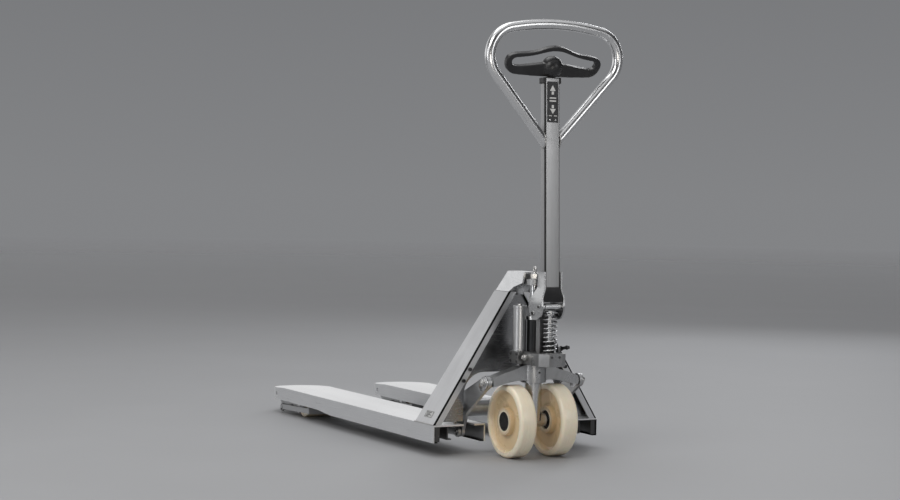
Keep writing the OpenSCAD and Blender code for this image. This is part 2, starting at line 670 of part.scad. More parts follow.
left_fork();
right_fork();
left_fork_ribs();
right_fork_ribs();
left_side_channel();
right_side_channel();
back_plate();
head_cap();
head_lug();
ram_rod();
top_nut();
lifting_eye();
crank_brackets();
crank_pins();
bracket_pivot_pins();
flange_bolts();
info_plate();
crosshead();
link_pins();
thrust_washer();
torsion_tube();
bell_cranks();
rod_pins();
left_pushrod();
right_pushrod();
left_roller_bracket();
right_roller_bracket();
left_roller_axle();
right_roller_axle();
left_load_roller();
right_load_roller();
pump_base();
reservoir();
valve_block();
valve_knob();
ram_cylinder();
ram_gland();
pump_barrel();
steering_column();
steering_axle();
axle_circlips();
left_wheel();
right_wheel();
left_bearings();
right_bearings();
left_hub_cap();
right_hub_cap();
pump_plunger();
pump_spring();
release_lever();
left_cheek();
right_cheek();
handle_base();
handle_pins();
pump_roller();
handle_tube();
handle_loop();
label_plate();
lever_socket();
control_lever();
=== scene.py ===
import math
import random

import bmesh
import bpy
from mathutils import Matrix, Vector


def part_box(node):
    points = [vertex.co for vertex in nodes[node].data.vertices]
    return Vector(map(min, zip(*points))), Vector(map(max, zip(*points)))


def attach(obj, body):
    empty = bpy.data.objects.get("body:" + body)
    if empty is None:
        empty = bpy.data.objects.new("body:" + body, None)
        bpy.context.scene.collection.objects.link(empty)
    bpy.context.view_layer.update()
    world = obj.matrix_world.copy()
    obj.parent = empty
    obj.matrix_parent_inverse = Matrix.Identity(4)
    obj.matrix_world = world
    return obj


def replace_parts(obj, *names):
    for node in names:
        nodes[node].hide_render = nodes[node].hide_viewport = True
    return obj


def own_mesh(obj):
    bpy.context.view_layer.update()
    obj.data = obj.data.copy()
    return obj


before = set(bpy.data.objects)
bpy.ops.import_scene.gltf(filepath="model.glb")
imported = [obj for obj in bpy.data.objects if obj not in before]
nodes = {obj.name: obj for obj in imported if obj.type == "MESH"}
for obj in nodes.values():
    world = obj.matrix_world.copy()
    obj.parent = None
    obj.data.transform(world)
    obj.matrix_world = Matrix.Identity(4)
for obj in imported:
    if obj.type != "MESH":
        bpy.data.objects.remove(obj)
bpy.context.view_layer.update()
scene = bpy.context.scene
rng = random.Random(11)
MM = 0.001
AXLE_X = -0.591  # steering axis in the row frame
SLOPE = math.radians(31.86)  # side channels, from upright
LEAN = math.radians(2)  # handle tube, from upright


# ---------------------------------------------------------------- node graphs
class Graph:
    """Small helper round a material's node tree."""

    def __init__(self, name, tree=None):
        if tree is None:
            self.material = bpy.data.materials.new(name)
            self.material.use_nodes = True
            tree = self.material.node_tree
        self.tree = tree
        tree.nodes.clear()

    def add(self, kind, **settings):
        node = self.tree.nodes.new("ShaderNode" + kind)
        for key, value in settings.items():
            setattr(node, key, value)
        return node

    def put(self, value, socket):
        if isinstance(value, bpy.types.NodeSocket):
            self.tree.links.new(value, socket)
        else:
            socket.default_value = value

    def math(self, op, a, b=0.0, clamp=False):
        node = self.add("Math", operation=op, use_clamp=clamp)
        self.put(a, node.inputs[0])
        self.put(b, node.inputs[1])
        return node.outputs[0]

    def mul(self, a, b):
        return self.math("MULTIPLY", a, b)

    def sum(self, a, b):
        return self.math("ADD", a, b)

    def position(self, scale=(1, 1, 1), turn=(0, 0, 0), move=(0, 0, 0)):
        """Object coordinates, which are the row frame in metres, turned and then scaled."""
        coords = self.add("TexCoord").outputs["Object"]
        rotate = self.add("Mapping", vector_type="POINT")
        rotate.inputs["Location"].default_value = move
        rotate.inputs["Rotation"].default_value = turn
        self.put(coords, rotate.inputs["Vector"])
        stretch = self.add("Mapping", vector_type="POINT")
        stretch.inputs["Scale"].default_value = scale
        self.put(rotate.outputs[0], stretch.inputs["Vector"])
        return stretch.outputs[0]

    def xyz(self, move=(0, 0, 0)):
        node = self.add("SeparateXYZ")
        self.put(self.position(move=move), node.inputs[0])
        return node.outputs

    def noise(self, vector, scale=1.0, detail=4.0, rough=0.55, warp=0.0):
        node = self.add("TexNoise")
        self.put(vector, node.inputs["Vector"])
        node.inputs["Scale"].default_value = scale
        node.inputs["Detail"].default_value = detail
        node.inputs["Roughness"].default_value = rough
        node.inputs["Distortion"].default_value = warp
        return node.outputs["Fac"]

    def cells(self, vector, scale, feature="F1", out="Distance"):
        node = self.add("TexVoronoi", feature=feature)
        self.put(vector, node.inputs["Vector"])
        node.inputs["Scale"].default_value = scale
        return node.outputs[out]

    def step(self, value, low, high, to_low=0.0, to_high=1.0):
        node = self.add("MapRange", clamp=True)
        self.put(value, node.inputs["Value"])
        node.inputs["From Min"].default_value = low
        node.inputs["From Max"].default_value = high
        node.inputs["To Min"].default_value = to_low
        node.inputs["To Max"].default_value = to_high
        return node.outputs["Result"]

    def mix(self, factor, a, b, how="MIX"):
        node = self.add("Mix", data_type="RGBA", blend_type=how)
        self.put(factor, node.inputs[0])
        self.put(a if not isinstance(a, tuple) else (*a[:3], 1.0), node.inputs[6])
        self.put(b if not isinstance(b, tuple) else (*b[:3], 1.0), node.inputs[7])
        return node.outputs[2]

    def bump(self, height, strength, distance, normal=None):
        node = self.add("Bump")
        node.inputs["Strength"].default_value = strength
        node.inputs["Distance"].default_value = distance
        self.put(height, node.inputs["Height"])
        if normal is not None:
            self.put(normal, node.inputs["Normal"])
        return node.outputs[0]

    def crevice(self, distance):
        node = self.add("AmbientOcclusion", samples=4)
        node.inputs["Distance"].default_value = distance
        return node.outputs["AO"]

    def edge(self, radius):
        """1 on sharp edges and 0 on open faces."""
        bevel = self.add("Bevel", samples=4)
        bevel.inputs["Radius"].default_value = radius
        plain = self.add("NewGeometry").outputs["Normal"]
        dot = self.add("VectorMath", operation="DOT_PRODUCT")
        self.put(bevel.outputs[0], dot.inputs[0])
        self.put(plain, dot.inputs[1])
        return self.step(dot.outputs["Value"], 0.995, 0.86)

    def surface(self, color, rough, normal=None, **fixed):
        shader = self.add("BsdfPrincipled")
        self.put(color if not isinstance(color, tuple) else (*color[:3], 1.0), shader.inputs["Base Color"])
        self.put(rough, shader.inputs["Roughness"])
        if normal is not None:
            self.put(normal, shader.inputs["Normal"])
        for key, value in fixed.items():
            shader.inputs[key.replace("_", " ")].default_value = value
        out = self.add("OutputMaterial")
        self.put(shader.outputs[0], out.inputs["Surface"])
        return self.material


def brushed(name, color, rough, grain=(8, 900, 900), turn=(0, 0, 0), scuff=0.35, bump=0.10, corner_shade=0.45, spread=0.10,
            shade=None):
    """Ground stainless steel: fine grain along one direction, cloudy roughness, scratches, and painted shade
    darkening its corners.
    """
    g = Graph(name)
    line = g.noise(g.position(grain, turn), 1.0, 4.0, 0.65)
    fine = g.noise(g.position(tuple(3.1 * k for k in grain), turn), 1.0, 2.0, 0.6)
    cloud = g.noise(g.position(), 7.0, 5.0, 0.6, 0.6)
    smear = g.noise(g.position((3, 3, 3), (0.4, 0.2, 0.9)), 6.0, 3.0, 0.5, 1.4)
    scratch_a = g.step(g.noise(g.position((5, 240, 240), (0.05, 0.09, 0.07)), 1.0, 2.0, 0.4), 0.66, 0.72)
    scratch_b = g.step(g.noise(g.position((160, 9, 160), (0.3, 0.5, 0.35)), 1.0, 2.0, 0.4), 0.69, 0.74)
    marks = g.mul(g.math("MAXIMUM", scratch_a, scratch_b), g.step(cloud, 0.40, 0.62))
    # Painted shade: the corners that the occlusion mask finds are darkened
    corner = g.step(g.crevice(0.018), 0.35, 0.95)
    pale = g.mix(g.step(line, 0.3, 0.7), tuple(c * 0.90 for c in color), tuple(min(1, c * 1.05) for c in color))
    pale = g.mix(g.mul(g.step(cloud, 0.42, 0.70), 0.22), pale, tuple(c * 0.88 for c in color))
    pale = g.mix(g.mul(marks, scuff), pale, (0.93, 0.93, 0.93))
    pale = g.mix(g.mul(g.math("SUBTRACT", 1.0, corner), corner_shade), pale, (0.10, 0.095, 0.09))
    roughness = g.sum(g.step(line, 0.25, 0.75, rough - 0.05, rough + 0.06),
                      g.step(smear, 0.3, 0.7, -spread * 0.45, spread * 0.45))
    roughness = g.sum(roughness, g.mul(marks, 0.12))
    # Painted shade where the given mask lies: near black and rougher
    if shade:
        dark = shade(g)
        pale = g.mix(dark, pale, (0.018, 0.018, 0.018))
        roughness = g.sum(roughness, g.mul(dark, 0.35))
    height = g.sum(g.mul(line, 0.6), g.mul(fine, 0.4))
    height = g.math("SUBTRACT", height, g.mul(marks, 0.5))
    normal = g.bump(height, bump, 0.0004)
    return g.surface(pale, g.math("MAXIMUM", roughness, 0.08), normal, Metallic=1.0, Anisotropic=0.35)


def between(g, value, low, high, soft):
    """1 where a value lies between two limits."""
    return g.mul(g.step(value, low - soft, low + soft), g.step(value, high + soft, high - soft))


def fork_inside(g):
    """Painted shade inside a fork's walls, under its top, and over the heel of the right fork."""
    x, y, z = g.xyz()
    across = g.math("ABSOLUTE", g.math("SUBTRACT", g.math("ABSOLUTE", y), 0.180))
    hollow = g.mul(g.mul(g.step(across, 0.0768, 0.0755), g.step(z, 0.0813, 0.0805)), g.step(x, 0.556, 0.546))
    right_heel = g.mul(g.mul(g.step(x, -0.5040, -0.5048), g.step(y, -0.09, -0.10)), g.step(z, 0.083, 0.081))
    return g.math("MAXIMUM", hollow, right_heel)


def seam_shadow(g):
    """Painted shadow of an open seam: a dark line where a side channel's face meets its rear flange."""
    x, y, z = g.xyz()
    rise = g.math("DIVIDE", g.math("SUBTRACT", z, 0.085), math.cos(SLOPE))
    rear = g.math("SUBTRACT", -0.5044, g.mul(rise, 0.01258))
    inward = g.math("SUBTRACT", x, rear)
    outer_y = g.math("SUBTRACT", 0.26, g.mul(g.math("SUBTRACT", z, 0.085), math.tan(SLOPE)))
    depth = g.math("SUBTRACT", outer_y, g.math("ABSOLUTE", y))
    return g.mul(between(g, inward, -0.002, 0.0045, 0.0004), g.step(depth, 0.0065, 0.0055))


def tube_corner_reflection(g):
    """Painted dark reflection down the handle tube's rear corner on +Y only."""
    x, y, z = g.xyz()
    across = g.mul(g.math("ADD", x, 0.647), 0.99939)
    local = g.math("SUBTRACT", across, g.mul(g.math("SUBTRACT", z, 0.397), 0.0349))
    return g.mul(g.mul(g.step(y, 0.0192, 0.0205), g.step(local, -0.0375, -0.0395)), 0.9)


def polished(name, color, rough, turn=(0, 0, 0), grain=(700, 700, 60), bump=0.03, spread=0.05, corner_shade=0.5,
             ding_depth=0.06):
    """Polished steel: buffing lines, finger smears, small dings and painted shade darkening its corners."""
    g = Graph(name)
    line = g.noise(g.position(grain, turn), 1.0, 3.0, 0.6)
    smear = g.noise(g.position(), 16.0, 4.0, 0.6, 1.2)
    ding = g.mul(g.step(g.cells(g.position(), 60.0), 0.09, 0.02), g.step(smear, 0.5, 0.6))
    # Painted shade: the corners that the occlusion mask finds are darkened
    corner = g.step(g.crevice(0.010), 0.3, 0.95)
    tone = g.mix(g.step(smear, 0.45, 0.75), color, tuple(c * 0.9 for c in color))
    tone = g.mix(g.mul(g.math("SUBTRACT", 1.0, corner), corner_shade), tone, (0.07, 0.065, 0.06))
    roughness = g.sum(g.step(smear, 0.35, 0.75, rough, rough + spread), g.step(line, 0.3, 0.7, -0.02, 0.03))
    normal = g.bump(line, bump, 0.0003)
    normal = g.bump(g.mul(ding, -1.0), ding_depth, 0.0002, normal)
    return g.surface(tone, g.math("MAXIMUM", roughness, 0.04), normal, Metallic=1.0)


def cast(name, color, rough, metallic=1.0, pit=0.25, corner_shade=0.6):
    """Cast or shot-blasted metal: pitted, blotchy, with painted shade darkening its corners."""
    g = Graph(name)
    grit = g.noise(g.position(), 900.0, 3.0, 0.6)
    lump = g.noise(g.position(), 90.0, 4.0, 0.55)
    cloud = g.noise(g.position(), 14.0, 4.0, 0.6, 0.8)
    # Painted shade: the corners that the occlusion mask finds are darkened
    corner = g.step(g.crevice(0.02), 0.3, 0.95)
    tone = g.mix(g.step(cloud, 0.35, 0.7), color, tuple(c * 0.72 for c in color))
    tone = g.mix(g.mul(g.step(grit, 0.55, 0.75), 0.35), tone, tuple(min(1, c * 1.3) for c in color))
    tone = g.mix(g.mul(g.math("SUBTRACT", 1.0, corner), corner_shade), tone, (0.03, 0.028, 0.025))
    roughness = g.sum(g.step(cloud, 0.3, 0.7, rough - 0.08, rough + 0.08), g.step(grit, 0.3, 0.7, -0.05, 0.05))
    normal = g.bump(g.sum(g.mul(grit, 0.5), lump), pit, 0.0006)
    return g.surface(tone, roughness, normal, Metallic=metallic)


def plastic(name, color, rough, grain=620.0, wear=0.5, bump=0.22, coat=0.0):
    """Moulded plastic: fine leathery grain, rubbed shiny on its edges, with dust and light scratches."""
    g = Graph(name)
    skin = g.cells(g.position(), grain, "SMOOTH_F1")
    grit = g.noise(g.position(), grain * 2.3, 2.0, 0.5)
    cloud = g.noise(g.position(), 22.0, 4.0, 0.6, 0.5)
    line = g.step(g.noise(g.position((40, 500, 500), (0.2, 0.4, 0.7)), 1.0, 2.0, 0.4), 0.68, 0.74)
    rub = g.mul(g.edge(0.0022), g.step(cloud, 0.35, 0.65))
    dust = g.mul(g.step(g.crevice(0.012), 0.9, 0.4), g.step(grit, 0.35, 0.6))
    tone = g.mix(g.step(cloud, 0.3, 0.75), color, tuple(c * 1.7 + 0.004 for c in color))
    tone = g.mix(g.mul(rub, wear * 0.35), tone, (0.20, 0.20, 0.20))
    tone = g.mix(g.mul(line, 0.15), tone, (0.25, 0.25, 0.25))
    tone = g.mix(g.mul(dust, 0.22), tone, (0.30, 0.28, 0.25))
    roughness = g.sum(g.step(cloud, 0.3, 0.7, rough - 0.05, rough + 0.08), g.mul(rub, -0.14 * wear))
    normal = g.bump(g.sum(skin, g.mul(grit, 0.4)), bump, 0.0004)
    return g.surface(tone, g.math("MAXIMUM", roughness, 0.1), normal, Coat_Weight=coat, Coat_Roughness=0.25)


def painted(name, color, rough, chip=0.5):
    """Black oxide or paint on steel, with bright steel where edges have rubbed and painted shade darkening its
    crevices.
    """
    g = Graph(name)
    cloud = g.noise(g.position(), 30.0, 4.0, 0.6, 0.6)
    peel = g.noise(g.position(), 420.0, 2.0, 0.5)
    spots = g.noise(g.position(), 160.0, 3.0, 0.6)
    bare = g.mul(g.step(g.sum(g.edge(0.0016), g.mul(spots, 0.8)), 1.05, 1.25), chip)
    # Painted shade: the crevices that the occlusion mask finds are darkened
    crevice_shade = g.step(g.crevice(0.015), 0.95, 0.35)
    tone = g.mix(g.step(cloud, 0.3, 0.7), color, tuple(c * 1.6 + 0.005 for c in color))
    tone = g.mix(bare, tone, (0.62, 0.62, 0.62))
    tone = g.mix(g.mul(crevice_shade, 0.5), tone, (0.02, 0.018, 0.016))
    roughness = g.step(cloud, 0.3, 0.7, rough - 0.07, rough + 0.08)
    normal = g.bump(peel, 0.10, 0.0004)
    return g.surface(tone, roughness, normal, Metallic=0.55)


def nylon(name, centre, outer, dish=(0.027, 0.084)):
    """Cast nylon wheel turning about Y: cream, with painted shade browning its dish and corners, turning marks and
    a scuffed tread.
    """
    g = Graph(name)
    x, _, z = g.xyz(tuple(-c for c in centre))
    radius = g.math("SQRT", g.sum(g.mul(x, x), g.mul(z, z)))
    rings = g.add("TexWave", wave_type="RINGS", rings_direction="Y")
    g.put(g.position(move=tuple(-c for c in centre)), rings.inputs["Vector"])
    rings.inputs["Scale"].default_value = 260.0
    rings.inputs["Distortion"].default_value = 1.2
    rings.inputs["Detail"].default_value = 2.0
    cloud = g.noise(g.position(), 12.0, 4.0, 0.6, 0.7)
    speck = g.step(g.noise(g.position(), 330.0, 3.0, 0.65), 0.64, 0.72)
    streak = g.noise(g.position((30, 420, 30)), 1.0, 3.0, 0.6)
    in_dish = g.mul(g.step(radius, dish[0], dish[0] + 0.012), g.step(radius, dish[1] + 0.003, dish[1] - 0.006))
    tread = g.step(radius, outer - 0.006, outer - 0.001)
    tone = g.mix(g.step(cloud, 0.25, 0.75), (0.97, 0.89, 0.72), (0.94, 0.82, 0.62))
    # Painted shade: the dish is browned, darkest near the hub
    tone = g.mix(g.mul(in_dish, 0.70), tone, (0.78, 0.55, 0.27))
    tone = g.mix(g.mul(g.step(radius, 0.050, 0.028), g.mul(in_dish, 0.6)), tone, (0.36, 0.23, 0.11))
    # Painted shade: the corners that the occlusion mask finds are browned
    corner_shade = g.mul(g.math("SUBTRACT", 1.0, g.step(g.crevice(0.012), 0.3, 0.95)), 0.55)
    tone = g.mix(corner_shade, tone, (0.34, 0.22, 0.11))
    scuff = g.mul(tread, g.sum(g.step(streak, 0.52, 0.76), g.mul(speck, 0.6)))
    tone = g.mix(g.math("MULTIPLY", scuff, 0.20, clamp=True), tone, (0.44, 0.37, 0.28))
    tone = g.mix(g.mul(speck, 0.08), tone, (0.46, 0.36, 0.24))
    roughness = g.sum(g.step(cloud, 0.3, 0.7, 0.24, 0.33), g.mul(scuff, 0.15))
    height = g.sum(g.mul(rings.outputs["Fac"], 0.35), g.mul(streak, g.mul(tread, 0.8)))
    normal = g.bump(height, 0.12, 0.0006)
    return g.surface(tone, roughness, normal, Subsurface_Weight=0.12, Subsurface_Scale=0.006,
                     Coat_Weight=0.35, Coat_Roughness=0.14)


def flat_mark(name, color, rough=0.5):
    """Printed or anodised mark with slight wear."""
    g = Graph(name)
    worn = g.step(g.noise(g.position(), 420.0, 4.0, 0.65), 0.60, 0.72)
    cloud = g.noise(g.position(), 60.0, 3.0, 0.5)
    tone = g.mix(g.mul(worn, 0.45), color, tuple(c * 0.55 + 0.08 for c in color))
    normal = g.bump(cloud, 0.05, 0.0002)
    return g.surface(tone, g.step(cloud, 0.3, 0.7, rough - 0.08, rough + 0.08), normal)


STEEL = (0.74, 0.745, 0.755)
sheet_x = brushed("sheet_steel_along", (0.88, 0.885, 0.89), 0.31, (9, 900, 900), scuff=0.22, spread=0.03,
                  shade=fork_inside)
bracket_steel = brushed("crank_bracket_steel", STEEL, 0.30, (9, 900, 900))
sheet_left = brushed("sheet_steel_left_slope", STEEL, 0.36, (900, 900, 9), (-SLOPE, 0, 0), scuff=0.2,
                     shade=seam_shadow)
sheet_right = brushed("sheet_steel_right_slope", STEEL, 0.36, (900, 900, 9), (SLOPE, 0, 0), scuff=0.2,
                      shade=seam_shadow)
sheet_z = brushed("sheet_steel_upright", STEEL, 0.27, (900, 900, 9), scuff=0.15)
# Handle tube: steel toned dark, a painted dark reflection, with a painted dark reflection line down its +Y rear
# corner
tube_sheet = brushed("handle_tube_steel", (0.39, 0.392, 0.396), 0.34, (170, 170, 3), scuff=0.06, bump=0.02,
                     spread=0.04, shade=tube_corner_reflection)
# Back plate: steel toned dark, a painted dark reflection
plate_steel = brushed("back_plate_steel", (0.33, 0.333, 0.34), 0.24, (900, 10, 900), scuff=0.2, spread=0.08)
inner_steel = brushed("inner_sheet_steel", (0.52, 0.525, 0.53), 0.38, (9, 700, 700), scuff=0.2, corner_shade=0.7)
# Fork ribs: near-black steel, painted shade so they look unlit
shaded_steel = brushed("fork_rib_steel_painted_shade", (0.10, 0.10, 0.10), 0.5, (9, 700, 700), scuff=0.1, corner_shade=0.8)
cheek_steel = brushed("cheek_steel", (0.55, 0.555, 0.56), 0.25, (900, 900, 12), scuff=0.3)
forged = cast("forged_crosshead_steel", (0.52, 0.525, 0.53), 0.30, pit=0.09, corner_shade=0.75)
machined = polished("machined_column_steel", (0.60, 0.605, 0.61), 0.22, grain=(40, 40, 120), bump=0.008,
                    ding_depth=0.004)
cast_pump = cast("cast_pump_body", (0.36, 0.362, 0.366), 0.32, metallic=0.95, pit=0.16)
tube_polish = polished("polished_loop_tube", (0.78, 0.785, 0.79), 0.22, grain=(45, 45, 45), bump=0.004,
                       spread=0.03, ding_depth=0.003)
tank_steel = polished("reservoir_tube_steel", (0.60, 0.605, 0.61), 0.31, grain=(60, 60, 10), bump=0.003, corner_shade=0.7,
                      ding_depth=0.002)
pin_polish = polished("ground_pin_steel", (0.74, 0.745, 0.75), 0.17, grain=(200, 200, 200), bump=0.01,
                      ding_depth=0.01)
rod_polish = polished("hard_chrome_rod", (0.72, 0.73, 0.74), 0.10, grain=(60, 60, 120), bump=0.004,
                      ding_depth=0.003)
spring_steel = polished("spring_wire_steel", (0.62, 0.625, 0.63), 0.20, grain=(300, 300, 300), bump=0.015,
                        spread=0.12, ding_depth=0.01)
nut_steel = polished("plated_nut_steel", (0.68, 0.675, 0.66), 0.22, bump=0.05, spread=0.1)
dark_steel = painted("dark_cylinder_steel", (0.020, 0.021, 0.023), 0.34)
oxide_steel = painted("black_oxide_steel", (0.035, 0.035, 0.036), 0.38, 0.35)
lever_plastic = plastic("lever_plastic", (0.010, 0.010, 0.011), 0.36, coat=0.15)
base_plastic = plastic("handle_base_plastic", (0.009, 0.009, 0.010), 0.40)
cap_rubber = plastic("hub_cap_plastic", (0.008, 0.008, 0.008), 0.42, grain=900.0, wear=0.3)
label_black = plastic("label_plate_black", (0.008, 0.008, 0.009), 0.34, grain=1400.0, wear=0.2, bump=0.05)
seal_black = painted("bearing_seal_black", (0.022, 0.021, 0.020), 0.42, 0.2)
info_face = brushed("info_plate_aluminium", (0.70, 0.70, 0.69), 0.36, (8, 900, 900), scuff=0.3)
mark_white = flat_mark("label_pale_ink", (0.78, 0.78, 0.76))
mark_black = flat_mark("info_dark_ink", (0.03, 0.03, 0.03))
bronze = cast("washer_bronze", (0.42, 0.29, 0.13), 0.32, pit=0.08)
weld_metal = polished("weld_metal", (0.56, 0.555, 0.545), 0.30, bump=0.10, spread=0.12)


def centre_of(node):
    low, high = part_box(node)
    return (low + high) / 2


wheel_nylon = {n: nylon(n + "_nylon", tuple(centre_of(n)), 0.1) for n in ("left_wheel", "right_wheel")}
roller_nylon = {n: nylon(n + "_nylon", tuple(centre_of(n)), 0.04, (0.008, 0.026))
                for n in ("left_load_roller", "right_load_roller")}

FINISH = {
    sheet_x: ["left_fork", "right_fork"],
    bracket_steel: ["crank_brackets"],
    sheet_left: ["left_side_channel"],
    sheet_right: ["right_side_channel"],
    sheet_z: ["head_cap"],
    tube_sheet: ["handle_tube"],
    plate_steel: ["back_plate"],
    shaded_steel: ["left_fork_ribs", "right_fork_ribs"],
    inner_steel: ["bell_cranks", "torsion_tube",
                  "left_pushrod", "right_pushrod", "left_roller_bracket", "right_roller_bracket", "head_lug"],
    cheek_steel: ["left_cheek", "right_cheek"],
    forged: ["crosshead"],
    machined: ["steering_column"],
    cast_pump: ["pump_base", "valve_block"],
    tube_polish: ["handle_loop"],
    tank_steel: ["reservoir"],
    pin_polish: ["crank_pins", "bracket_pivot_pins", "link_pins", "rod_pins", "left_roller_axle",
                 "right_roller_axle", "steering_axle", "handle_pins", "pump_roller", "ram_gland"],
    seal_black: ["left_bearings", "right_bearings"],
    rod_polish: ["ram_rod", "pump_plunger"],
    spring_steel: ["pump_spring"],
    nut_steel: ["top_nut", "lifting_eye", "valve_knob"],
    dark_steel: ["ram_cylinder", "pump_barrel"],
    oxide_steel: ["flange_bolts", "axle_circlips", "release_lever"],
    base_plastic: ["handle_base", "lever_socket"],
    lever_plastic: ["control_lever"],
    cap_rubber: ["left_hub_cap", "right_hub_cap"],
    label_black: ["label_plate"],
    info_face: ["info_plate"],
    bronze: ["thrust_washer"],
}
for material, names in FINISH.items():
    for name in names:
        nodes[name].data.materials.clear()
        nodes[name].data.materials.append(material)
for name, material in {**wheel_nylon, **roller_nylon}.items():
    nodes[name].data.materials.clear()
    nodes[name].data.materials.append(material)


# ---------------------------------------------------------------- edges of the CAD nodes
def soften(obj, width, segments=2, angle=32):
    """Welds the faces of a CAD node, clears triangulation from its flat faces and rounds its edges."""
    mesh = obj.data
    mesh.shade_smooth()
    weld = obj.modifiers.new("weld", "WELD")
    weld.merge_threshold = 2e-6
    flat = obj.modifiers.new("flat", "DECIMATE")
    flat.decimate_type = "DISSOLVE"
    flat.angle_limit = math.radians(0.8)
    bevel = obj.modifiers.new("bevel", "BEVEL")
    bevel.width = width
    bevel.segments = segments
    bevel.limit_method = "ANGLE"
    bevel.angle_limit = math.radians(angle)
    bevel.use_clamp_overlap = True
    bevel.harden_normals = True
    bevel.miter_outer = "MITER_ARC"


def remould(obj, voxel, rounds):
    """Turns a CAD node into one smooth moulded skin by remeshing it finely and relaxing it."""
    mesh = obj.data
    mesh.shade_smooth()
    weld = obj.modifiers.new("weld", "WELD")
    weld.merge_threshold = 2e-6
    skin = obj.modifiers.new("skin", "REMESH")
    skin.mode = "VOXEL"
    skin.voxel_size = voxel
    skin.use_smooth_shade = True
    relax = obj.modifiers.new("relax", "SMOOTH")
    relax.factor = 0.5
    relax.iterations = rounds


for name, obj in nodes.items():
    mesh = obj.data
    if "custom_normal" in mesh.attributes:
        mesh.attributes.remove(mesh.attributes["custom_normal"])
SMALL = {"flange_bolts", "info_plate", "label_plate", "lifting_eye", "pump_spring", "thrust_washer",
         "axle_circlips"}
MOULDED = {"control_lever": (0.0014, 9), "lever_socket": (0.0012, 6)}
for name, obj in nodes.items():
    if name in MOULDED:
        remould(obj, *MOULDED[name])
    elif name in SMALL:
        soften(obj, 0.0002, 1)
    elif name in ("left_wheel", "right_wheel", "left_load_roller", "right_load_roller"):
        soften(obj, 0.0008, 2, 30)
    else:
        soften(obj, 0.0007, 2)


# ---------------------------------------------------------------- detail pieces
def to_frame(x, y, z):
    """Truck millimetres, x from the steering axis, to the row frame in metres."""
    return Vector((x * MM + AXLE_X, y * MM, z * MM))


def to_handle(x, y, z):
    """Handle millimetres, from the handle's pivot, to the row frame in metres."""
    return to_frame(-56 + x * math.cos(LEAN) + z * math.sin(LEAN), y,
                    397 - x * math.sin(LEAN) + z * math.cos(LEAN))


def piece(name, bm, material, body, smooth=True):
    mesh = bpy.data.meshes.new(name)
    bmesh.ops.recalc_face_normals(bm, faces=bm.faces)
    bm.to_mesh(mesh)
    bm.free()
    if smooth:
        mesh.shade_smooth()
        mesh.set_sharp_from_angle(angle=math.radians(38))
    mesh.materials.append(material)
    obj = bpy.data.objects.new(name, mesh)
    scene.collection.objects.link(obj)
    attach(obj, body)
    return obj


def basis(axis):
    """A turn that carries +Z to an axis."""
    return Vector(axis).normalized().to_track_quat("Z", "Y").to_matrix()


def skin(bm, loops, closed_start=True, closed_end=True):
    """Joins rings of points into a skin."""
    rings = [[bm.verts.new(p) for p in loop] for loop in loops]
    count = len(rings[0])
    for a, b in zip(rings, rings[1:]):
        for i in range(count):
            j = (i + 1) % count
            bm.faces.new((a[i], a[j], b[j], b[i]))
    if closed_start:
        bm.faces.new(list(reversed(rings[0])))
    if closed_end:
        bm.faces.new(rings[-1])


def hex_radius(angle, across):
    """Distance to the side of a hexagon that is this far across its flats."""
    step = math.pi / 3
    return across / 2 / math.cos((angle + step / 2) % step - step / 2)


def add_screw(bm, centre, axis, r, h, kind, n=36):
    """Machine screw or nut head: 'socket' has a hexagon recess, 'hex' is a chamfered hexagon."""
    turn = basis(axis)

    def ring(radius, level):
        return [centre + turn @ Vector((math.cos(a) * radius(a), math.sin(a) * radius(a), level)) * MM
                for a in (2 * math.pi * i / n for i in range(n))]

    def round_(k):
        return lambda a: k

    if kind == "socket":
        flats = r * 0.95
        loops = [ring(round_(r), -0.3), ring(round_(r), h - 0.5), ring(round_(r - 0.15), h - 0.15),
                 ring(round_(r - 0.5), h), ring(lambda a: hex_radius(a, flats) + 0.25, h),
                 ring(lambda a: hex_radius(a, flats), h - 0.3), ring(lambda a: hex_radius(a, flats), h * 0.45),
                 ring(lambda a: hex_radius(a, flats) * 0.5, h * 0.38)]
    else:
        flats = 2 * r * 0.866
        loops = [ring(lambda a: hex_radius(a, flats), -0.3), ring(lambda a: hex_radius(a, flats), h * 0.72),
                 ring(lambda a: min(hex_radius(a, flats), flats / 2 * 1.03), h * 0.92), ring(round_(flats / 2), h),
                 ring(round_(r * 0.5), h), ring(round_(r * 0.44), h + 0.8), ring(round_(r * 0.30), h + 1.1)]
    skin(bm, loops)


def add_washer(bm, centre, axis, outer, inner, h, n=40):
    turn = basis(axis)
    profile = [(inner, 0), (outer - 0.3, 0), (outer, 0.3), (outer, h - 0.3), (outer - 0.3, h), (inner + 0.3, h),
               (inner, h - 0.3)]
    rings = [[bm.verts.new(centre + turn @ Vector((math.cos(a) * r, math.sin(a) * r, z)) * MM) for r, z in profile]
             for a in (2 * math.pi * i / n for i in range(n))]
    for i in range(n):
        a, b = rings[i], rings[(i + 1) % n]
        for k in range(len(profile)):
            m = (k + 1) % len(profile)
            bm.faces.new((a[k], b[k], b[m], a[m]))


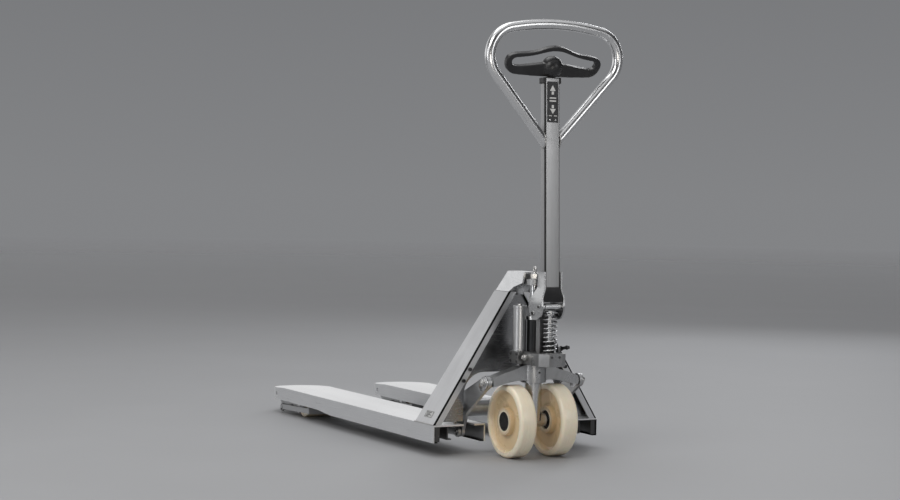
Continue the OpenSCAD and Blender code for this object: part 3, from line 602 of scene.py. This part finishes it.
def add_bead(bm, path, radius, closed=False, sides=10):
    """Weld bead: a tube along a path, swollen by the ripples of each dab of the torch."""
    points = []
    total = 0.0
    ends = list(zip(path, path[1:] + ([path[0]] if closed else [])))
    if not closed:
        ends = ends[:len(path) - 1]
    for a, b in ends:
        length = (b - a).length
        steps = max(1, round(length / 0.0007))
        for i in range(steps):
            points.append((a.lerp(b, i / steps), (b - a).normalized(), total + length * i / steps))
        total += length
    if not closed:
        points.append((path[-1], (path[-1] - path[-2]).normalized(), total))
    rings = []
    for p, d, along in points:
        turn = basis(d)
        dab = (along / 0.0021) % 1.0
        swell = radius * (0.86 + 0.16 * math.sin(math.pi * dab) + rng.uniform(-0.03, 0.03)) * MM
        rings.append([p + turn @ Vector((math.cos(t) * swell, math.sin(t) * swell, 0))
                      for t in (2 * math.pi * k / sides for k in range(sides))])
    if closed:
        rings.append(rings[0])
    skin(bm, rings, not closed, not closed)
    if closed:
        bmesh.ops.remove_doubles(bm, verts=bm.verts, dist=1e-6)


def add_mark(bm, outline, place, thick):
    """Thin raised print: an outline in a plane, given a small thickness."""
    loops = [[place(u, v, 0.0) for u, v in outline], [place(u, v, thick) for u, v in outline]]
    skin(bm, loops)


# Label plate: generic lift, neutral and lower signs, over two rivets
bm = bmesh.new()


def on_label(u, v, out):
    return to_handle(-44.85 - out, u, v)


signs = [[(-9, 598), (9, 598), (0, 613)], [(-3.4, 588), (3.4, 588), (3.4, 596.4), (-3.4, 596.4)],
         [(-10, 577), (10, 577), (10, 580.5), (-10, 580.5)], [(-10, 569), (10, 569), (10, 572.5), (-10, 572.5)],
         [(-9, 550), (0, 536), (9, 550)], [(-3.4, 551.6), (3.4, 551.6), (3.4, 560), (-3.4, 560)]]
signs += [[(u - 4.5, 530), (u + 4.5, 530), (u + 4.5, 532), (u - 4.5, 532)] for u in (-8, 8)]
for outline in signs:
    add_mark(bm, outline, on_label, 0.18)
piece("label_signs", bm, mark_white, "handle", False)
bm = bmesh.new()
for u in (-8.5, 8.5):
    centre = on_label(u, 520, 0.0)
    turn = basis((-math.cos(LEAN), 0, math.sin(LEAN)))
    skin(bm, [[centre + turn @ Vector((math.cos(a) * r, math.sin(a) * r, z)) * MM
               for a in (2 * math.pi * i / 24 for i in range(24))]
              for r, z in ((2.6, -0.2), (2.6, 0.25), (2.3, 0.7), (1.6, 1.0), (0.7, 1.15))])
piece("label_rivets", bm, pin_polish, "handle")

# Rating plate: bars, a border and four rivets
foot_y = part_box("info_plate")[1].y / MM + 20 * math.sin(SLOPE) - 0.6 * math.cos(SLOPE)


def on_info(u, v, out):
    y = 0.62 + out
    return to_frame(u, foot_y + y * math.cos(SLOPE) - v * math.sin(SLOPE),
                    85 + y * math.sin(SLOPE) + v * math.cos(SLOPE))


bm = bmesh.new()
for row in range(4):
    length = (26, 20, 30, 16)[row]
    top = 36.2 - 3.7 * row
    add_mark(bm, [(160, top), (160 - length, top), (160 - length, top - 2.0), (160, top - 2.0)], on_info, 0.12)
for box in ((123, 21, 165, 22), (123, 38, 165, 39), (123, 22, 124.2, 38), (163.8, 22, 165, 38)):
    add_mark(bm, [(box[0], box[1]), (box[2], box[1]), (box[2], box[3]), (box[0], box[3])], on_info, 0.12)
piece("info_bars", bm, mark_black, "chassis", False)
bm = bmesh.new()
for u in (126.5, 161.5):
    for v in (24.2, 35.8):
        add_screw(bm, on_info(u, v, 0.0), (0, math.cos(SLOPE), math.sin(SLOPE)), 1.1, 0.7, "socket", 24)
piece("info_rivets", bm, pin_polish, "chassis")

# Hand loop: one smooth bent tube in place of the CAD node's faceted one
TILT = math.radians(6.2)
LOOP_R, TUBE_HALF = 14, 23.0
CORNER_U, CORNER_S, CORNER_R, ARM, CROWN = 123.0, 238.0, 75.0, 42.0, 11.2
TOP_R = (CORNER_U + CORNER_R * math.sin(math.radians(CROWN))) / math.sin(math.radians(CROWN))
TOP_S = CORNER_S + (CORNER_R - TOP_R) * math.cos(math.radians(CROWN))


def loop_line():
    """Points (u, s) and headings along the right half of the loop, from the tube to the middle of its top."""
    start = (CORNER_U + CORNER_R * math.cos(math.radians(ARM)), CORNER_S - CORNER_R * math.sin(math.radians(ARM)))
    heading = (math.sin(math.radians(ARM)), math.cos(math.radians(ARM)))
    reach = (start[0] - TUBE_HALF) / heading[0]
    line = [((start[0] - heading[0] * reach * (1 - i / 24), start[1] - heading[1] * reach * (1 - i / 24)), heading)
            for i in range(24)]
    for i in range(61):
        a = math.radians(-ARM + (90 - CROWN + ARM) * i / 60)
        line.append(((CORNER_U + CORNER_R * math.cos(a), CORNER_S + CORNER_R * math.sin(a)),
                     (-math.sin(a), math.cos(a))))
    for i in range(1, 25):
        a = math.radians(90 - CROWN + CROWN * i / 24)
        line.append(((TOP_R * math.cos(a), TOP_S + TOP_R * math.sin(a)), (-math.sin(a), math.cos(a))))
    return line


def loop_ring(point, heading, first, last, sides=40):
    """One ring of the tube's skin; the rings at both ends lie flat on the handle tube."""
    ring = []
    for k in range(sides):
        a = 2 * math.pi * k / sides
        u = point[0] + LOOP_R * math.cos(a) * heading[1]
        s = point[1] - LOOP_R * math.cos(a) * heading[0]
        if first or last:
            slide = ((TUBE_HALF if first else -TUBE_HALF) - u) / heading[0]
            u, s = u + heading[0] * slide, s + heading[1] * slide
        out = LOOP_R * math.sin(a)
        ring.append(to_handle(-31 - s * math.sin(TILT) + out * math.cos(TILT), u,
                              450 + s * math.cos(TILT) + out * math.sin(TILT)))
    return ring


half = loop_line()
whole = half + [((-p[0], p[1]), (h[0], -h[1])) for p, h in reversed(half[:-1])]
bm = bmesh.new()
skin(bm, [loop_ring(p, h, i == 0, i == len(whole) - 1) for i, (p, h) in enumerate(whole)])
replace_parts(piece("hand_loop_tube", bm, tube_polish, "handle"), "handle_loop")

# Pump spring: a round wire in place of the CAD node's spring, carried by the plunger
def spring_point(t):
    """Middle of the wire, for t from 0 at its lower end to 1 at its upper end."""
    turns, low_z, high_z = 8.5, 294.45, 396.6
    a = 2 * math.pi * turns * t
    return to_frame(-88 + 17 * math.cos(a), 17 * math.sin(a), low_z + (high_z - low_z) * t)


bm = bmesh.new()
STEPS = 420
rings = []
for i in range(STEPS + 1):
    t = i / STEPS
    ahead_t, back_t = min(1.0, t + 0.001), max(0.0, t - 0.001)
    turn = basis(spring_point(ahead_t) - spring_point(back_t))
    thin = 2.18 if 0 < i < STEPS else 1.9
    rings.append([spring_point(t) + turn @ Vector((math.cos(a) * thin, math.sin(a) * thin, 0)) * MM
                  for a in (2 * math.pi * k / 14 for k in range(14))])
skin(bm, rings)
coil = piece("coil_spring", bm, spring_steel, "plunger")
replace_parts(coil, "pump_spring")
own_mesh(coil)

# Welds where the loop's arms meet the tube
bm = bmesh.new()
for side in (-1, 1):
    add_bead(bm, [to_handle(-32.6 + 14.6 * math.cos(a), side * 23.4, 465 + 21.6 * math.sin(a))
                  for a in (2 * math.pi * i / 40 for i in range(40))], 1.5, closed=True)
piece("loop_welds", bm, weld_metal, "handle")

# Welds along the feet of the side channels
bm = bmesh.new()
for side in (-1, 1):
    add_bead(bm, [to_frame(90, side * 259.4, 86.0), to_frame(203, side * 259.4, 86.0)], 1.6)
piece("channel_foot_welds", bm, weld_metal, "chassis")

# Screws of the valve block and the pump body, and the plug on the reservoir
bm = bmesh.new()
for x in (-8, 26):
    for z in (263, 283):
        add_screw(bm, to_frame(x, 57, z), (0, 1, 0), 3.6, 3.0, "socket")
for y, z in ((14, 282), (-10, 282)):
    add_screw(bm, to_frame(-124, y, z), (-1, 0, 0), 3.0, 2.0, "socket")
piece("pump_screws", bm, oxide_steel, "steering_unit")
bm = bmesh.new()
add_screw(bm, to_frame(10, 39, 414), (0, 0, 1), 7, 4.5, "hex")
add_washer(bm, to_frame(10, 39, 414), (0, 0, 1), 9, 4, 1.2)
piece("pump_plugs", bm, nut_steel, "steering_unit")

# Nuts and washers on the crosshead's pins and on the bell cranks' pins
bm = bmesh.new()
for side in (-1, 1):
    add_screw(bm, to_frame(0, side * 155.5, 207), (0, side, 0), 9.5, 5.5, "hex")
piece("link_nuts", bm, nut_steel, "carriage")
bm = bmesh.new()
for side in (-1, 1):
    add_washer(bm, to_frame(165, side * 178, 122), (0, side, 0), 17, 8, 1.6)
    add_screw(bm, to_frame(165, side * 178, 122), (0, side, 0), 13, 7, "hex")
piece("crank_nuts", bm, nut_steel, "chassis")

# Moulded ribs round the hub caps
for side, sign in (("left", 1), ("right", -1)):
    bm = bmesh.new()
    face = sign * (64.5 + 24.6)
    for outer, inner in ((24.5, 21.5), (14.0, 11.5)):
        add_washer(bm, to_frame(0, face, 100), (0, sign, 0), outer, inner, 0.9)
    for i in range(12):
        a = 2 * math.pi * i / 12
        place = to_frame(17.8 * math.cos(a), face, 100 + 17.8 * math.sin(a))
        add_screw(bm, place, (0, sign, 0), 1.3, 0.7, "hex", 12)
    piece(side + "_cap_ribs", bm, cap_rubber, side + "_wheel")

# Pivot screws on the cheeks of the handle
bm = bmesh.new()
for side in (-1, 1):
    add_screw(bm, to_handle(0, side * 38, 0), (0, side, 0), 5.2, 2.2, "socket")
    add_screw(bm, to_handle(-32, side * 38, 18), (0, side, 0), 3.8, 1.8, "socket")
piece("cheek_screws", bm, oxide_steel, "handle")

# ---------------------------------------------------------------- studio
YAW, PITCH, ROLL = (math.radians(a) for a in (27.353, 1.616, 0.909))
look = Vector((math.cos(YAW) * math.cos(PITCH), -math.sin(YAW) * math.cos(PITCH), -math.sin(PITCH)))
right = Vector((-math.sin(YAW), -math.cos(YAW), 0))
up = right.cross(look)
right_rolled = right * math.cos(ROLL) + up * math.sin(ROLL)
up_rolled = up * math.cos(ROLL) - right * math.sin(ROLL)
camera = bpy.data.objects.new("camera", bpy.data.cameras.new("camera"))
scene.collection.objects.link(camera)
camera.data.sensor_width = 36
camera.data.lens = 75.71
camera.data.clip_end = 200
camera.matrix_world = Matrix((
    (right_rolled.x, up_rolled.x, -look.x, -5.072),
    (right_rolled.y, up_rolled.y, -look.y, 2.580),
    (right_rolled.z, up_rolled.z, -look.z, 0.708),
    (0, 0, 0, 1)))
scene.camera = camera

floor_mesh = bpy.data.meshes.new("floor")
floor = bpy.data.objects.new("floor", floor_mesh)
scene.collection.objects.link(floor)
disc = bmesh.new()
bmesh.ops.create_circle(disc, cap_ends=True, segments=96, radius=40)
disc.to_mesh(floor_mesh)
disc.free()
g = Graph("floor_pale")
patch = g.noise(g.position(), 1.3, 4.0, 0.55)
speck = g.noise(g.position(), 240.0, 3.0, 0.6)
tone = g.mix(g.step(patch, 0.3, 0.7), (0.345, 0.349, 0.358), (0.375, 0.379, 0.388))
shader = g.add("BsdfPrincipled")
g.put(tone, shader.inputs["Base Color"])
g.put(g.step(patch, 0.3, 0.7, 0.62, 0.72), shader.inputs["Roughness"])
shader.inputs["Specular IOR Level"].default_value = 0.25
g.put(g.bump(speck, 0.05, 0.0005), shader.inputs["Normal"])
x, y, _ = g.xyz()
away = g.math("SQRT", g.sum(g.mul(x, x), g.mul(y, y)))
clear = g.add("BsdfTransparent")
blend = g.add("MixShader")
g.put(g.step(away, 7.0, 24.0), blend.inputs[0])
g.put(shader.outputs[0], blend.inputs[1])
g.put(clear.outputs[0], blend.inputs[2])
out = g.add("OutputMaterial")
g.put(blend.outputs[0], out.inputs["Surface"])
floor_mesh.materials.append(g.material)

world = bpy.data.worlds.new("studio")
scene.world = world
world.use_nodes = True
w = Graph("studio", world.node_tree)
direction = w.add("SeparateXYZ")
w.put(w.add("TexCoord").outputs["Generated"], direction.inputs[0])
height = direction.outputs["Z"]


def ramp(graph, value, stops):
    node = graph.add("ValToRGB")
    graph.put(value, node.inputs[0])
    points = node.color_ramp.elements
    while len(points) > 1:
        points.remove(points[-1])
    points[0].position, points[0].color = stops[0][0], (*stops[0][1], 1)
    for place, color in stops[1:]:
        points.new(place).color = (*color, 1)
    return node.outputs[0]


seen = ramp(w, w.step(height, -0.35, 0.45), [
    (0.0, (0.225, 0.229, 0.237)), (0.44, (0.225, 0.229, 0.237)), (0.62, (0.180, 0.184, 0.192)),
    (1.0, (0.110, 0.113, 0.120))])
# What the metal mirrors: a dim room, a bright wall low down past the forks, and a pale ceiling
dim = ramp(w, w.step(height, -1.0, 1.0), [
    (0.0, (0.12, 0.12, 0.12)), (0.47, (0.16, 0.16, 0.165)), (0.53, (0.14, 0.14, 0.145)),
    (0.60, (0.05, 0.05, 0.052)), (0.72, (0.04, 0.04, 0.042)), (0.82, (0.22, 0.22, 0.225)),
    (0.90, (0.65, 0.65, 0.66)), (1.0, (0.50, 0.50, 0.51))])
lit = ramp(w, w.step(height, -1.0, 1.0), [
    (0.0, (0.20, 0.20, 0.20)), (0.47, (0.60, 0.60, 0.61)), (0.54, (1.0, 1.0, 1.0)), (0.66, (0.85, 0.85, 0.86)),
    (0.78, (0.25, 0.25, 0.25)), (0.90, (0.75, 0.75, 0.76)), (1.0, (0.55, 0.55, 0.56))])
ahead = w.sum(w.mul(direction.outputs["X"], 0.95), w.mul(direction.outputs["Y"], 0.05))
mirrored = w.mix(w.step(ahead, 0.45, 0.85), dim, lit)
side_wall = w.mul(w.step(direction.outputs["Y"], 0.72, 0.92), w.step(height, 0.45, 0.25))
mirrored = w.mix(side_wall, mirrored, (0.62, 0.62, 0.63))
path = w.add("LightPath")
shown = w.mix(path.outputs["Is Camera Ray"], mirrored, seen)
background = w.add("Background")
w.put(shown, background.inputs["Color"])
world_out = w.add("OutputWorld")
w.put(background.outputs[0], world_out.inputs["Surface"])


def softbox(name, place, aim, size, power, color=(1, 1, 1), spread=180):
    light = bpy.data.lights.new(name, "AREA")
    light.shape = "RECTANGLE"
    light.size, light.size_y = size
    light.energy = power
    light.color = color
    light.spread = math.radians(spread)
    obj = bpy.data.objects.new(name, light)
    scene.collection.objects.link(obj)
    obj.location = place
    obj.rotation_euler = (Vector(aim) - Vector(place)).to_track_quat("-Z", "Y").to_euler()
    obj.visible_camera = False


softbox("key", (-2.4, 3.6, 3.4), (-0.2, 0, 0.4), (2.0, 2.0), 62, (1.0, 0.99, 0.97))
softbox("overhead", (0.4, 0.4, 4.2), (0.1, 0, 0), (3.2, 2.4), 50)
softbox("rim", (2.6, -3.4, 2.6), (-0.3, 0, 0.6), (1.0, 2.4), 34, (0.97, 0.98, 1.0))
softbox("front", (-5.2, -1.8, 1.8), (-0.4, 0, 0.5), (1.4, 2.2), 26)
softbox("low_fill", (-3.2, 1.0, 0.55), (-0.6, 0, 0.12), (0.9, 0.5), 7, (1.0, 0.95, 0.88))
softbox("left_strip", (-1.2, 4.2, 0.9), (-0.4, 0, 0.6), (0.4, 2.2), 12)

scene.view_settings.view_transform = "Standard"
scene.view_settings.look = "None"
scene.view_settings.exposure = 0.0
